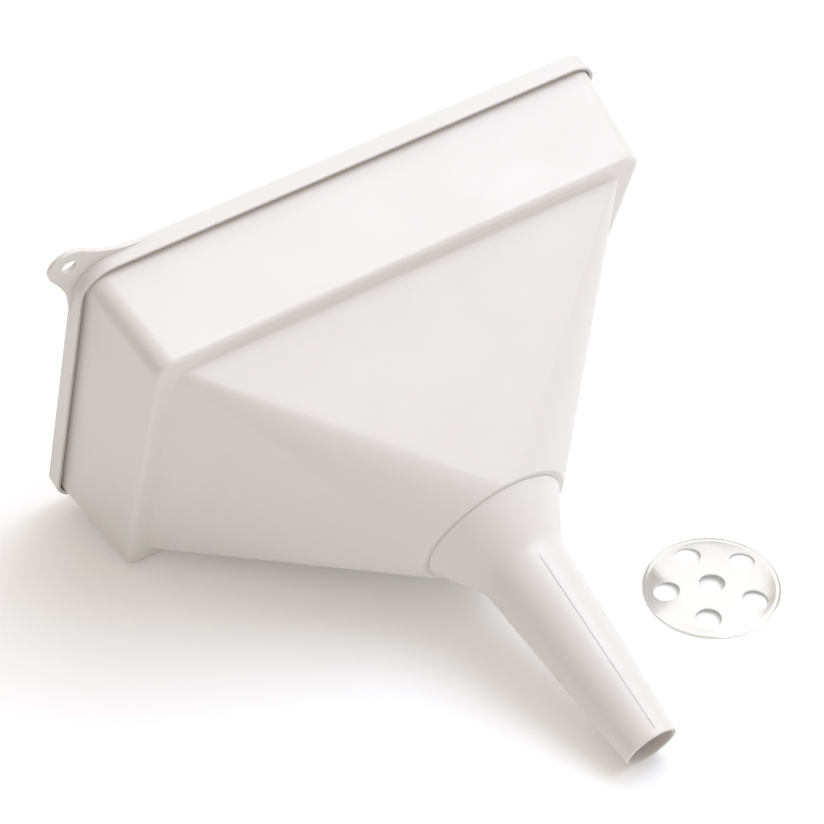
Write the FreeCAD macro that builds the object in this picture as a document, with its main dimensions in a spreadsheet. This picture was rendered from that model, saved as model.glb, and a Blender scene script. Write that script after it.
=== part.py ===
"""Rectangular filling funnel with a loose strainer plate, lying on its side.

The funnel is drawn upright on its own axis: +Z towards the mouth, X along the mouth's long side, origin at the
centre of the neck's lower lip. It is then laid on the table, where the rounded foot of the collar and the end of
the spout touch Z = 0. The strainer plate lies flat beside it. All sizes are millimetres.
"""
import FreeCAD, Part

import math
import os

import Sketcher

App = FreeCAD
Vector = App.Vector

SIZES = {
    # mouth and rim
    "mouth_length": 300.0,
    "mouth_width": 209.0,
    "mouth_corner": 18.0,
    "rim_height": 169.0,
    "rim_plate": 2.6,
    "lip_drop": 9.3,
    "lip_wall": 2.0,
    "edge_round": 1.0,
    # hanging eye at one corner of the rim
    "eye_out_x": 3.2,
    "eye_out_y": 4.2,
    "eye_radius": 11.2,
    "eye_hole": 4.0,
    "eye_blend": 60.0,
    # deep collar under the rim and the ledge it stands on
    "collar_top_length": 293.5,
    "collar_top_width": 200.0,
    "collar_length": 280.5,
    "collar_width": 193.0,
    "collar_corner": 10.0,
    "collar_foot": 105.0,
    "collar_round": 3.5,
    # tapered hopper under the ledge
    "taper_length": 258.0,
    "taper_width": 170.0,
    "taper_corner": 5.0,
    "wall": 1.8,
    # neck
    "lip_radius": 41.7,
    "lip_flat": 6.0,
    "socket_radius": 38.4,
    "socket_depth": 6.0,
    # spout
    "spigot_top": 8.0,
    "flange_radius": 40.6,
    "seat_radius": 35.7,
    "seat_ledge": 33.9,
    "flare_radius": 23.0,
    "flare_drop": 26.0,
    "flare_blend": 14.0,
    "tip_radius": 14.4,
    "tip_bore": 12.5,
    "tip_drop": 137.0,
    "seam_height": 0.35,
    "seam_width": 0.6,
    # strainer plate
    "plate_radius": 35.2,
    "plate_thick": 1.0,
    "plate_rim": 1.7,
    "plate_dome": 3.0,
    "plate_pitch": 23.6,
    "plate_hole": 6.75,
    "plate_turn": -133.0,
    "plate_x": 97.5,
    "plate_y": -54.5,
}


class Sizes:
    """The driving dimensions, kept in a spreadsheet whose cells the features read."""

    def __init__(self, doc):
        self.sheet = doc.addObject("Spreadsheet::Sheet", "sizes")
        for row, (alias, value) in enumerate(SIZES.items(), start=1):
            self.sheet.set(f"A{row}", alias)
            self.sheet.set(f"B{row}", str(value))
            self.sheet.setAlias(f"B{row}", alias)
        doc.recompute()

    def __getattr__(self, alias):
        return float(getattr(self.sheet, alias))


def origin_plane(body, role):
    """Return one of the body's own origin planes."""
    return next(f for f in body.Origin.OriginFeatures if f.Role == role)


def new_sketch(body, name, role="XY_Plane", lift=None):
    """Add a sketch on an origin plane of the body, raised along the plane's normal by the expression lift."""
    sketch = body.newObject("Sketcher::SketchObject", name)
    sketch.AttachmentSupport = [(origin_plane(body, role), "")]
    sketch.MapMode = "FlatFace"
    if lift:
        sketch.setExpression("AttachmentOffset.Base.z", lift)
    return sketch


def bind(sketch, constraint, name, expression):
    """Add a driving constraint, name it and let the spreadsheet set its value."""
    index = sketch.addConstraint(constraint)
    sketch.renameConstraint(index, name)
    sketch.setExpression(f"Constraints.{name}", expression)


def rounded_rectangle(sketch, tag, start, length, width, radius):
    """Draw a rounded rectangle centred on the sketch's origin.

    start holds length, width and radius as numbers for the first drawing; the last three are the expressions
    that drive them.
    """
    half_l, half_w, r = start[0] / 2, start[1] / 2, start[2]
    cx, cy = half_l - r, half_w - r
    z = Vector(0, 0, 1)
    first = sketch.GeometryCount
    sketch.addGeometry(
        [
            Part.LineSegment(Vector(-cx, -half_w), Vector(cx, -half_w)),
            Part.ArcOfCircle(Part.Circle(Vector(cx, -cy), z, r), -math.pi / 2, 0),
            Part.LineSegment(Vector(half_l, -cy), Vector(half_l, cy)),
            Part.ArcOfCircle(Part.Circle(Vector(cx, cy), z, r), 0, math.pi / 2),
            Part.LineSegment(Vector(cx, half_w), Vector(-cx, half_w)),
            Part.ArcOfCircle(Part.Circle(Vector(-cx, cy), z, r), math.pi / 2, math.pi),
            Part.LineSegment(Vector(-half_l, cy), Vector(-half_l, -cy)),
            Part.ArcOfCircle(Part.Circle(Vector(-cx, -cy), z, r), math.pi, 1.5 * math.pi),
        ],
        False,
    )
    con = Sketcher.Constraint
    for step in range(8):
        here, there = first + step, first + (step + 1) % 8
        sketch.addConstraint(con("Tangent", here, 2, there, 1))
    for line in (0, 4):
        sketch.addConstraint(con("Horizontal", first + line))
    for line in (2, 6):
        sketch.addConstraint(con("Vertical", first + line))
    for arc in (3, 5, 7):
        sketch.addConstraint(con("Equal", first + 1, first + arc))
    sketch.addConstraint(con("Symmetric", first + 1, 3, first + 5, 3, -1, 1))
    bind(sketch, con("DistanceX", first + 6, 2, first + 2, 1, start[0]), f"{tag}_length", length)
    bind(sketch, con("DistanceY", first + 0, 2, first + 4, 1, start[1]), f"{tag}_width", width)
    bind(sketch, con("Radius", first + 1, r), f"{tag}_corner", radius)


def rectangle(sketch, start, length, width):
    """Draw a sharp rectangle centred on the sketch's origin, driven by the expressions length and width."""
    half_l, half_w = start[0] / 2, start[1] / 2
    signs = ((-1, -1), (1, -1), (1, 1), (-1, 1))
    corners = [Vector(half_l * along, half_w * across) for along, across in signs]
    for a, b in zip(corners, corners[1:] + corners[:1]):
        sketch.addGeometry(Part.LineSegment(a, b), False)
    con = Sketcher.Constraint
    for side in range(4):
        sketch.addConstraint(con("Coincident", side, 2, (side + 1) % 4, 1))
        sketch.addConstraint(con("Vertical" if side % 2 else "Horizontal", side))
    sketch.addConstraint(con("Symmetric", 0, 1, 1, 2, -1, 1))
    bind(sketch, con("DistanceX", 0, 1, 0, 2, start[0]), "length", length)
    bind(sketch, con("DistanceY", 1, 1, 1, 2, start[1]), "width", width)


def face_names(shape, chosen):
    """Names of the faces whose middle normal the test picks out."""
    names = []
    for i, face in enumerate(shape.Faces, start=1):
        u0, u1, v0, v1 = face.ParameterRange
        if chosen(face, face.normalAt((u0 + u1) / 2, (v0 + v1) / 2)):
            names.append(f"Face{i}")
    return names


def draft_sides(body, name, axis, angle, level):
    """Lean out the two flat faces that look along one axis and stand on the given level.

    axis is "x" or "y" and angle the expression of the lean; the outline at the level stays as it is.
    """
    body.Document.recompute()
    base = body.Tip

    def sides(face, normal):
        box = face.BoundBox
        return abs(getattr(normal, axis)) > 0.9 and abs(box.ZMin - level) < 1e-3 and box.ZLength > 50

    def foot(face, normal):
        return abs(normal.z) > 0.99 and abs(face.BoundBox.ZMax - level) < 1e-3

    feature = body.newObject("PartDesign::Draft", name)
    feature.Base = (base, face_names(base.Shape, sides))
    feature.NeutralPlane = (base, face_names(base.Shape, foot)[:1])
    feature.Reversed = True
    feature.setExpression("Angle", angle)
    body.Document.recompute()
    return feature


def fixed_polyline(sketch, points):
    """Draw a closed outline from worked-out points and hold every corner where it is."""
    first = sketch.GeometryCount
    for a, b in zip(points, points[1:] + points[:1]):
        sketch.addGeometry(Part.LineSegment(Vector(*a), Vector(*b)), False)
    for i, _ in enumerate(points):
        here, there = first + i, first + (i + 1) % len(points)
        sketch.addConstraint(Sketcher.Constraint("Coincident", here, 2, there, 1))
    sketch.addConstraint([Sketcher.Constraint("Block", first + i) for i in range(len(points))])


def loft(body, kind, name, sections):
    """Add an AdditiveLoft or SubtractiveLoft with straight walls between two sketches."""
    feature = body.newObject(f"PartDesign::{kind}", name)
    feature.Profile = sections[0]
    feature.Sections = sections[1:]
    feature.Ruled = True
    return feature


def pad(body, name, sketch, length, reverse=False):
    """Pad a sketch by the expression length."""
    feature = body.newObject("PartDesign::Pad", name)
    feature.Profile = sketch
    feature.Reversed = reverse
    feature.setExpression("Length", length)
    return feature


def cut(body, name, sketch, length, upward=False):
    """Pocket a sketch by the expression length, downwards from its plane unless upward is set."""
    feature = body.newObject("PartDesign::Pocket", name)
    feature.Profile = sketch
    feature.Reversed = upward
    feature.setExpression("Length", length)
    return feature


def round_edges(body, name, chosen, radius):
    """Fillet the edges of the body's tip that the test picks out."""
    body.Document.recompute()
    base = body.Tip
    names = [f"Edge{i}" for i, e in enumerate(base.Shape.Edges, start=1) if chosen(e)]
    if not names:
        raise RuntimeError(f"{name}: no edge was found to round")
    feature = body.newObject("PartDesign::Fillet", name)
    feature.Base = (base, names)
    feature.setExpression("Radius", radius)
    body.Document.recompute()
    return feature


def level_edge(height, beyond):
    """Make a test for the open edges that lie at one height, farther from the axis than beyond."""

    def chosen(edge):
        box = edge.BoundBox
        if edge.isClosed() or abs(box.ZMin - height) > 1e-3 or abs(box.ZMax - height) > 1e-3:
            return False
        middle = edge.valueAt((edge.FirstParameter + edge.LastParameter) / 2)
        return math.hypot(middle.x, middle.y) > beyond

    return chosen


def outer_lip_edge(sizes, height):
    """Make a test for the edges at one height that follow the rim's outer outline."""
    at_height = level_edge(height, 0)

    def chosen(edge):
        if not at_height(edge):
            return False
        if isinstance(edge.Curve, Part.Circle):
            return abs(edge.Curve.Radius - sizes.mouth_corner) < 0.01
        middle = edge.valueAt((edge.FirstParameter + edge.LastParameter) / 2)
        past = max(abs(middle.x) - sizes.mouth_length / 2, abs(middle.y) - sizes.mouth_width / 2)
        return abs(past) < 0.01

    return chosen


def standing_edge(level):
    """Make a test for the long edges that run up from one height."""

    def chosen(edge):
        box = edge.BoundBox
        return abs(box.ZMin - level) < 1e-3 and box.ZLength > 50

    return chosen


def rim_outline(sketch, sizes):
    """Draw the rim's outline: a rounded rectangle with the hanging eye's nose blended into one corner."""
    half_l, half_w, r = sizes.mouth_length / 2, sizes.mouth_width / 2, sizes.mouth_corner
    nose_r, blend_r = sizes.eye_radius, sizes.eye_blend
    nose = Vector(-half_l - sizes.eye_out_x, -half_w - sizes.eye_out_y)
    reach = blend_r + nose_r
    side_x = nose.x + math.sqrt(reach ** 2 - (blend_r - sizes.eye_out_y) ** 2)
    end_y = nose.y + math.sqrt(reach ** 2 - (blend_r - sizes.eye_out_x) ** 2)
    side_blend, end_blend = Vector(side_x, -half_w - blend_r), Vector(-half_l - blend_r, end_y)
    to_side, to_end = side_blend - nose, end_blend - nose
    side_angle, end_angle = math.atan2(to_side.y, to_side.x), math.atan2(to_end.y, to_end.x)
    z, right = Vector(0, 0, 1), math.pi / 2
    cx, cy = half_l - r, half_w - r
    outline = [
        Part.LineSegment(Vector(side_x, -half_w), Vector(cx, -half_w)),
        Part.ArcOfCircle(Part.Circle(Vector(cx, -cy), z, r), -right, 0),
        Part.LineSegment(Vector(half_l, -cy), Vector(half_l, cy)),
        Part.ArcOfCircle(Part.Circle(Vector(cx, cy), z, r), 0, right),
        Part.LineSegment(Vector(cx, half_w), Vector(-cx, half_w)),
        Part.ArcOfCircle(Part.Circle(Vector(-cx, cy), z, r), right, 2 * right),
        Part.LineSegment(Vector(-half_l, cy), Vector(-half_l, end_y)),
        Part.ArcOfCircle(Part.Circle(end_blend, z, blend_r), end_angle - math.pi, 0),
        Part.ArcOfCircle(Part.Circle(nose, z, nose_r), end_angle, side_angle + 2 * math.pi),
        Part.ArcOfCircle(Part.Circle(side_blend, z, blend_r), right, side_angle + math.pi),
        Part.Circle(nose, z, sizes.eye_hole),
    ]
    sketch.addGeometry(outline, False)
    con = Sketcher.Constraint
    for step in range(6):
        sketch.addConstraint(con("Tangent", step, 2, step + 1, 1))
    for joint in ((6, 2, 7, 2), (7, 1, 8, 1), (8, 2, 9, 2), (9, 1, 0, 1)):
        sketch.addConstraint(con("Tangent", *joint))
    for line in (0, 4):
        sketch.addConstraint(con("Horizontal", line))
    for line in (2, 6):
        sketch.addConstraint(con("Vertical", line))
    for first, second in ((1, 3), (1, 5), (7, 9)):
        sketch.addConstraint(con("Equal", first, second))
    sketch.addConstraint(con("Coincident", 8, 3, 10, 3))
    half_length, half_width = "sizes.mouth_length / 2", "sizes.mouth_width / 2"
    bind(sketch, con("DistanceY", 0, 2, -1, 1, half_w), "near_side", half_width)
    bind(sketch, con("DistanceY", -1, 1, 4, 1, half_w), "far_side", half_width)
    bind(sketch, con("DistanceX", -1, 1, 2, 1, half_l), "right_end", half_length)
    bind(sketch, con("DistanceX", 6, 1, -1, 1, half_l), "left_end", half_length)
    bind(sketch, con("DistanceX", 8, 3, -1, 1, -nose.x), "nose_x", f"{half_length} + sizes.eye_out_x")
    bind(sketch, con("DistanceY", 8, 3, -1, 1, -nose.y), "nose_y", f"{half_width} + sizes.eye_out_y")
    bind(sketch, con("Radius", 1, r), "corner", "sizes.mouth_corner")
    bind(sketch, con("Radius", 7, blend_r), "blend", "sizes.eye_blend")
    bind(sketch, con("Radius", 8, nose_r), "nose", "sizes.eye_radius")
    bind(sketch, con("Radius", 10, sizes.eye_hole), "hole", "sizes.eye_hole")


def make_collar(body, sizes):
    """The deep box under the rim: padded from its foot, its sides leaning out towards the rim."""
    foot_z = sizes.collar_foot
    box = new_sketch(body, "collar_outline", lift="sizes.collar_foot")
    rectangle(box, (sizes.collar_length, sizes.collar_width), "sizes.collar_length", "sizes.collar_width")
    pad(body, "collar", box, "sizes.rim_height - sizes.collar_foot")
    height = "(sizes.rim_height - sizes.collar_foot)"
    end_lean = f"atan((sizes.collar_top_length - sizes.collar_length) / 2 / {height})"
    side_lean = f"atan((sizes.collar_top_width - sizes.collar_width) / 2 / {height})"
    draft_sides(body, "collar_end_draft", "x", end_lean, foot_z)
    draft_sides(body, "collar_side_draft", "y", side_lean, foot_z)
    round_edges(body, "collar_corners", standing_edge(foot_z), "sizes.collar_corner")
    round_edges(body, "collar_foot_round", level_edge(foot_z, 50), "sizes.collar_round")


def make_rim(body, sizes):
    """The flat rim with its hanging eye, and the lip that turns down from it."""
    plate = new_sketch(body, "rim_outline", lift="sizes.rim_height")
    rim_outline(plate, sizes)
    pad(body, "rim_plate", plate, "sizes.rim_plate", reverse=True)
    round_edges(body, "rim_top_round", level_edge(sizes.rim_height, 104), "sizes.edge_round")

    lip = new_sketch(body, "lip_outline", lift="sizes.rim_height - sizes.rim_plate")
    length, width, corner, wall = sizes.mouth_length, sizes.mouth_width, sizes.mouth_corner, sizes.lip_wall
    rounded_rectangle(
        lip, "outer", (length, width, corner), "sizes.mouth_length", "sizes.mouth_width", "sizes.mouth_corner"
    )
    rounded_rectangle(
        lip,
        "inner",
        (length - 2 * wall, width - 2 * wall, corner - wall),
        "sizes.mouth_length - 2 * sizes.lip_wall",
        "sizes.mouth_width - 2 * sizes.lip_wall",
        "sizes.mouth_corner - sizes.lip_wall",
    )
    pad(body, "turned_lip", lip, "sizes.lip_drop - sizes.rim_plate", reverse=True)
    lip_foot = sizes.rim_height - sizes.lip_drop
    round_edges(body, "lip_round", outer_lip_edge(sizes, lip_foot), "sizes.edge_round")


def transition(body, kind, name, levels):
    """Loft from a rectangle with small corners to a nearly round outline.

    Each level holds the expression of its height, the three numbers and the three expressions of its outline.
    """
    sketches = []
    for tag, (lift, start, drives) in zip(("top", "foot"), levels):
        sketch = new_sketch(body, f"{name}_{tag}", lift=lift)
        rounded_rectangle(sketch, tag, start, *drives)
        sketches.append(sketch)
    loft(body, kind, name, sketches)


def make_hopper(doc, sizes):
    """The moulded hopper: rim with turned-down lip, collar, ledge, taper, neck socket and hanging eye."""
    body = doc.addObject("PartDesign::Body", "hopper")
    wall = sizes.wall
    make_collar(body, sizes)

    # the taper runs from a rectangle with small corners to the round neck
    taper = (sizes.taper_length, sizes.taper_width, sizes.taper_corner)
    across, turn = 2 * sizes.lip_radius, sizes.lip_radius - sizes.lip_flat / 2
    ring = ((across, across, turn), ("2 * sizes.lip_radius",) * 2 + ("sizes.lip_radius - sizes.lip_flat / 2",))
    outside = ("sizes.taper_length", "sizes.taper_width", "sizes.taper_corner")
    transition(
        body, "AdditiveLoft", "taper", (("sizes.collar_foot", taper, outside), ("0", *ring))
    )
    make_rim(body, sizes)

    # hollow collar, hollow taper and the socket the spout is pressed into
    floor_z = "sizes.collar_foot + sizes.wall"
    rows = (
        ("sizes.rim_height", sizes.collar_top_length, sizes.collar_top_width, "sizes.collar_top_length",
         "sizes.collar_top_width"),
        (floor_z, sizes.collar_length, sizes.collar_width, "sizes.collar_length", "sizes.collar_width"),
    )
    inner_corner = (sizes.collar_corner - wall, "sizes.collar_corner - sizes.wall")
    levels = [
        (
            lift,
            (length - 2 * wall, width - 2 * wall, inner_corner[0]),
            (f"{length_cell} - 2 * sizes.wall", f"{width_cell} - 2 * sizes.wall", inner_corner[1]),
        )
        for lift, length, width, length_cell, width_cell in rows
    ]
    transition(body, "SubtractiveLoft", "collar_inside", levels)
    inside = ("sizes.taper_length - 2 * sizes.wall", "sizes.taper_width - 2 * sizes.wall",
              "sizes.taper_corner - sizes.wall")
    inner_taper = (taper[0] - 2 * wall, taper[1] - 2 * wall, taper[2] - wall)
    transition(
        body, "SubtractiveLoft", "taper_inside", ((floor_z, inner_taper, inside), ("sizes.socket_depth", *ring))
    )
    socket = new_sketch(body, "socket_outline")
    socket.addGeometry(Part.Circle(Vector(), Vector(0, 0, 1), sizes.socket_radius), False)
    socket.addConstraint(Sketcher.Constraint("Coincident", 0, 3, -1, 1))
    bind(socket, Sketcher.Constraint("Radius", 0, sizes.socket_radius), "socket", "sizes.socket_radius")
    cut(body, "socket", socket, "sizes.socket_depth + sizes.wall", upward=True)
    return body


def make_spout(doc, sizes):
    """The moulded spout: spigot and strainer seat, flare, tapered tube and its two fine seams."""
    body = doc.addObject("PartDesign::Body", "spout")
    wall = sizes.wall
    sketch = new_sketch(body, "spout_profile", "XZ_Plane")
    outer_bend = Vector(sizes.flare_radius, -sizes.flare_drop)
    inner_bend = Vector(sizes.flare_radius - wall - 0.4, -sizes.flare_drop - 1.0)
    corners = [
        Vector(sizes.seat_radius, sizes.spigot_top),
        Vector(sizes.flange_radius, sizes.spigot_top),
        Vector(sizes.flange_radius, sizes.socket_depth),
        Vector(sizes.socket_radius, sizes.socket_depth),
        Vector(sizes.socket_radius, -0.8),
        outer_bend,
        Vector(sizes.tip_radius, -sizes.tip_drop),
        Vector(sizes.tip_bore, -sizes.tip_drop),
        inner_bend,
        Vector(sizes.seat_ledge, -1.5),
        Vector(sizes.seat_ledge, 0.0),
        Vector(sizes.seat_radius, 0.0),
    ]
    blends = {5: sizes.flare_blend, 8: sizes.flare_blend + wall}
    for edge in blended_outline(corners, blends):
        sketch.addGeometry(edge, False)
    sketch.addConstraint([Sketcher.Constraint("Block", i) for i in range(sketch.GeometryCount)])
    turned = body.newObject("PartDesign::Revolution", "turned_shell")
    turned.Profile = sketch
    turned.ReferenceAxis = (sketch, ["V_Axis"])
    turned.Angle = 360
    doc.recompute()

    # the split line of the mould, a fine raised seam down both sides of the tube
    seam = new_sketch(body, "seam_profile", "YZ_Plane")
    top_z, foot_z = -sizes.flare_drop - 6.0, -sizes.tip_drop + 3.5
    for side in (-1, 1):
        tube = [(side * (tube_radius(sizes, z) + rise), z) for z, rise in
                ((top_z, -0.6), (foot_z, -0.6), (foot_z, sizes.seam_height), (top_z - 3.0, sizes.seam_height))]
        fixed_polyline(seam, tube)
    ridge = pad(body, "seam", seam, "sizes.seam_width")
    ridge.Midplane = True
    round_edges(body, "tip_round", tip_edge(sizes), "sizes.edge_round")
    return body


def tip_edge(sizes):
    """Make a test for the outer edge of the spout's end."""

    def chosen(edge):
        curve = edge.Curve
        return (
            isinstance(curve, Part.Circle)
            and abs(curve.Radius - sizes.tip_radius) < 0.01
            and abs(curve.Center.z + sizes.tip_drop) < 0.01
        )

    return chosen


def tube_radius(sizes, z):
    """Outer radius of the spout's tapered tube at height z."""
    share = (-z - sizes.flare_drop) / (sizes.tip_drop - sizes.flare_drop)
    return sizes.flare_radius + (sizes.tip_radius - sizes.flare_radius) * share


def blended_outline(corners, blends):
    """Lines round the corners in order, with an arc of the given radius at each corner named in blends."""
    starts, ends, arcs = list(corners), list(corners), {}
    for i, radius in blends.items():
        before, here, after = corners[i - 1], corners[i], corners[(i + 1) % len(corners)]
        u, v = (before - here).normalize(), (after - here).normalize()
        half = u.getAngle(v) / 2
        trim = radius / math.tan(half)
        middle = here + (u + v).normalize() * (radius / math.sin(half) - radius)
        ends[i], starts[i] = here + u * trim, here + v * trim
        arcs[i] = Part.Arc(ends[i], middle, starts[i])
    edges = []
    for i in range(len(corners)):
        if i in arcs:
            edges.append(arcs[i])
        edges.append(Part.LineSegment(starts[i], ends[(i + 1) % len(corners)]))
    return edges


def make_strainer(doc, sizes):
    """The pressed steel strainer plate: flat rim, shallow dome, one hole in the middle and five round it."""
    body = doc.addObject("PartDesign::Body", "strainer_plate")
    radius, thick, rise = sizes.plate_radius, sizes.plate_thick, sizes.plate_dome
    flat = radius - sizes.plate_rim
    bend = (flat ** 2 + rise ** 2) / (2 * rise)
    sketch = new_sketch(body, "plate_profile", "XZ_Plane")
    halfway = math.asin(flat / bend) / 2
    arc_point = Vector(bend * math.sin(halfway), rise - bend * (1 - math.cos(halfway)))
    up = Vector(0, thick)
    outline = [
        Part.LineSegment(Vector(0, rise), Vector(0, rise + thick)),
        Part.Arc(Vector(0, rise + thick), arc_point + up, Vector(flat, thick)),
        Part.LineSegment(Vector(flat, thick), Vector(radius, thick)),
        Part.LineSegment(Vector(radius, thick), Vector(radius, 0)),
        Part.LineSegment(Vector(radius, 0), Vector(flat, 0)),
        Part.Arc(Vector(flat, 0), arc_point, Vector(0, rise)),
    ]
    for piece in outline:
        sketch.addGeometry(piece, False)
    sketch.addConstraint([Sketcher.Constraint("Block", i) for i in range(len(outline))])
    dish = body.newObject("PartDesign::Revolution", "pressed_dish")
    dish.Profile = sketch
    dish.ReferenceAxis = (sketch, ["V_Axis"])
    dish.Angle = 360

    holes = new_sketch(body, "ring_hole_outline")
    punch_hole(holes, sizes, Vector(sizes.plate_pitch, 0))
    bind(holes, Sketcher.Constraint("DistanceX", -1, 1, 0, 3, sizes.plate_pitch), "pitch", "sizes.plate_pitch")
    holes.addConstraint(Sketcher.Constraint("PointOnObject", 0, 3, -1))
    through = "2 * (sizes.plate_dome + sizes.plate_thick)"
    ring_hole = cut(body, "ring_hole", holes, through, upward=True)
    doc.recompute()
    ring = body.newObject("PartDesign::PolarPattern", "ring_holes")
    ring.Originals = [ring_hole]
    ring.Axis = (holes, ["N_Axis"])
    ring.Angle = 360
    ring.Occurrences = 5
    body.Tip = ring
    doc.recompute()

    middle = new_sketch(body, "middle_hole_outline")
    punch_hole(middle, sizes, Vector())
    middle.addConstraint(Sketcher.Constraint("Coincident", 0, 3, -1, 1))
    cut(body, "middle_hole", middle, through, upward=True)
    doc.recompute()
    return body


def punch_hole(sketch, sizes, centre):
    """Draw one of the strainer's round holes."""
    sketch.addGeometry(Part.Circle(centre, Vector(0, 0, 1), sizes.plate_hole), False)
    bind(sketch, Sketcher.Constraint("Radius", 0, sizes.plate_hole), "hole", "sizes.plate_hole")


def rounding_centre(edge_y, edge_z, radius, lean):
    """Centre of the rounding between a level underside and a side that leans out by the angle lean."""
    return Vector(0, edge_y - radius * (1 - math.sin(lean)) / math.cos(lean), edge_z + radius)


def lie_down(sizes):
    """The placement that lays the upright funnel on the table.

    It comes to rest on the end of the spout and on the rounded foot of the collar's far side, so the table is the
    plane that touches both roundings.
    """
    tip_r, foot_r = sizes.edge_round, sizes.collar_round
    collar_height, tube_length = sizes.rim_height - sizes.collar_foot, sizes.tip_drop - sizes.flare_drop
    collar_lean = math.atan2((sizes.collar_top_width - sizes.collar_width) / 2, collar_height)
    tube_lean = math.atan2(sizes.flare_radius - sizes.tip_radius, tube_length)
    tip = rounding_centre(sizes.tip_radius, -sizes.tip_drop, tip_r, tube_lean)
    foot = rounding_centre(sizes.collar_width / 2, sizes.collar_foot, foot_r, collar_lean)
    along = foot - tip
    slope = math.atan2(along.y, along.z) + math.asin((foot_r - tip_r) / along.Length)
    turn = App.Rotation(Vector(1, 0, 0), math.degrees(slope) - 90)
    return App.Placement(Vector(0, 0, tip_r - turn.multVec(tip).z), turn)


def check(doc, bodies):
    """Stop if any feature failed or a sub-part isn't one valid solid."""
    failed = [o.Name for o in doc.Objects if set(o.State) & {"Invalid", "Error"}]
    if failed:
        raise RuntimeError(f"these objects failed: {failed}")
    for body in bodies:
        shape = body.Shape
        if shape.isNull() or not shape.isValid() or len(shape.Solids) != 1:
            raise RuntimeError(f"{body.Label} isn't one valid solid")


def main():
    """Build the document, lay the pieces out, check them and write one STEP file each."""
    doc = App.newDocument("funnel")
    sizes = Sizes(doc)
    hopper = make_hopper(doc, sizes)
    spout = make_spout(doc, sizes)
    strainer = make_strainer(doc, sizes)
    doc.recompute()

    funnel_place = lie_down(sizes)
    spin = App.Rotation(Vector(0, 0, 1), sizes.plate_turn)
    for body in (hopper, spout):
        body.Placement = funnel_place
    strainer.Placement = App.Placement(Vector(sizes.plate_x, sizes.plate_y, 0), spin)
    doc.recompute()

    bodies = [hopper, spout, strainer]
    check(doc, bodies)
    box = App.BoundBox()
    for body in bodies:
        box.add(body.Shape.optimalBoundingBox())
    to_origin = App.Placement(Vector(-box.Center.x, -box.Center.y, 0), App.Rotation())
    for body in bodies:
        body.Placement = to_origin.multiply(body.Placement)
    doc.recompute()
    check(doc, bodies)

    os.makedirs("parts", exist_ok=True)
    for body in bodies:
        body.Shape.exportStep(f"parts/{body.Label}.step")
        print(body.Label, "volume", round(body.Shape.Volume), "box", body.Shape.optimalBoundingBox())
    print("shift", to_origin.Base, "funnel", funnel_place)


main()
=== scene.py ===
"""Looks of a rectangular filling funnel: moulded hopper, turned spout and a loose pressed strainer plate.

The hopper and the spout are built upright on their own axis in millimetres, +Z towards the mouth and the origin
at the middle of the neck's lower lip, and are then laid on the table in the frame that all the pieces share.
"""
import logging
import math
from dataclasses import dataclass, field
from enum import Enum
from typing import Sequence

import bmesh
import bpy
from mathutils import Matrix, Vector


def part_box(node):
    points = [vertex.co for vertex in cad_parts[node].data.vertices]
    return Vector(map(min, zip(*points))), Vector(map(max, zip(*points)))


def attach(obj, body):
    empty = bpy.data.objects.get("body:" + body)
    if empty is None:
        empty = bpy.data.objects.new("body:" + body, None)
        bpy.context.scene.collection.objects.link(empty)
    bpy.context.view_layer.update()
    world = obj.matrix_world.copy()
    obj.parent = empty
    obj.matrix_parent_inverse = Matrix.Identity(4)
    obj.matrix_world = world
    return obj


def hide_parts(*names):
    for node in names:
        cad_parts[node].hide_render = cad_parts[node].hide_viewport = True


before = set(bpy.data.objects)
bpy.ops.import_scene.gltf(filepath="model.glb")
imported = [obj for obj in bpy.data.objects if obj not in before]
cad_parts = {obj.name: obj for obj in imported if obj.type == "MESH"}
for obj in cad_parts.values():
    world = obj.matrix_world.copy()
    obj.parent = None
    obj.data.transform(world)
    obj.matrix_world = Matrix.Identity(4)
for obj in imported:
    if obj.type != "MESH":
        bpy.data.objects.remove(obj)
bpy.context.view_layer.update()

LOG = logging.getLogger("funnel")
MM = 0.001
SAME_POINT = 1e-4  # mm; points nearer than this are one point

Loop = list[Vector]


# ------------------------------------------------------------------------------
# small helpers


def linear(hex_colour: str) -> tuple[float, float, float, float]:
    """Turn an sRGB hex colour into linear red, green, blue and alpha.

    Args:
        hex_colour: Six hex digits with a leading hash, such as "#f2f0ec".

    Returns:
        The linear colour with alpha 1.
    """
    channels = [int(hex_colour[i : i + 2], 16) / 255 for i in (1, 3, 5)]
    red, green, blue = (c / 12.92 if c <= 0.04045 else ((c + 0.055) / 1.055) ** 2.4 for c in channels)
    return red, green, blue, 1.0


def add_node(tree: bpy.types.NodeTree, kind: str, settings: dict | None = None, inputs: dict | None = None,
             links: dict | None = None) -> bpy.types.Node:
    """Add a node with its settings, its constant inputs and the links that feed it.

    Args:
        tree: The node tree that gets the node.
        kind: The node's type, such as "ShaderNodeBump".
        settings: Properties of the node itself, by name.
        inputs: Constant values, by the socket's name or number.
        links: Output sockets that feed this node, by the input socket's name or number.

    Returns:
        The new node.
    """
    node = tree.nodes.new(kind)
    for name, value in (settings or {}).items():
        setattr(node, name, value)
    for key, value in (inputs or {}).items():
        node.inputs[key].default_value = value
    for key, source in (links or {}).items():
        tree.links.new(source, node.inputs[key])
    return node


def mesh_object(name: str, mesh: bpy.types.Mesh) -> bpy.types.Object:
    """Link a mesh into the scene as an object at the origin.

    Args:
        name: The object's name.
        mesh: The mesh it shows.

    Returns:
        The new object.
    """
    obj = bpy.data.objects.new(name, mesh)
    bpy.context.scene.collection.objects.link(obj)
    return obj


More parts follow.
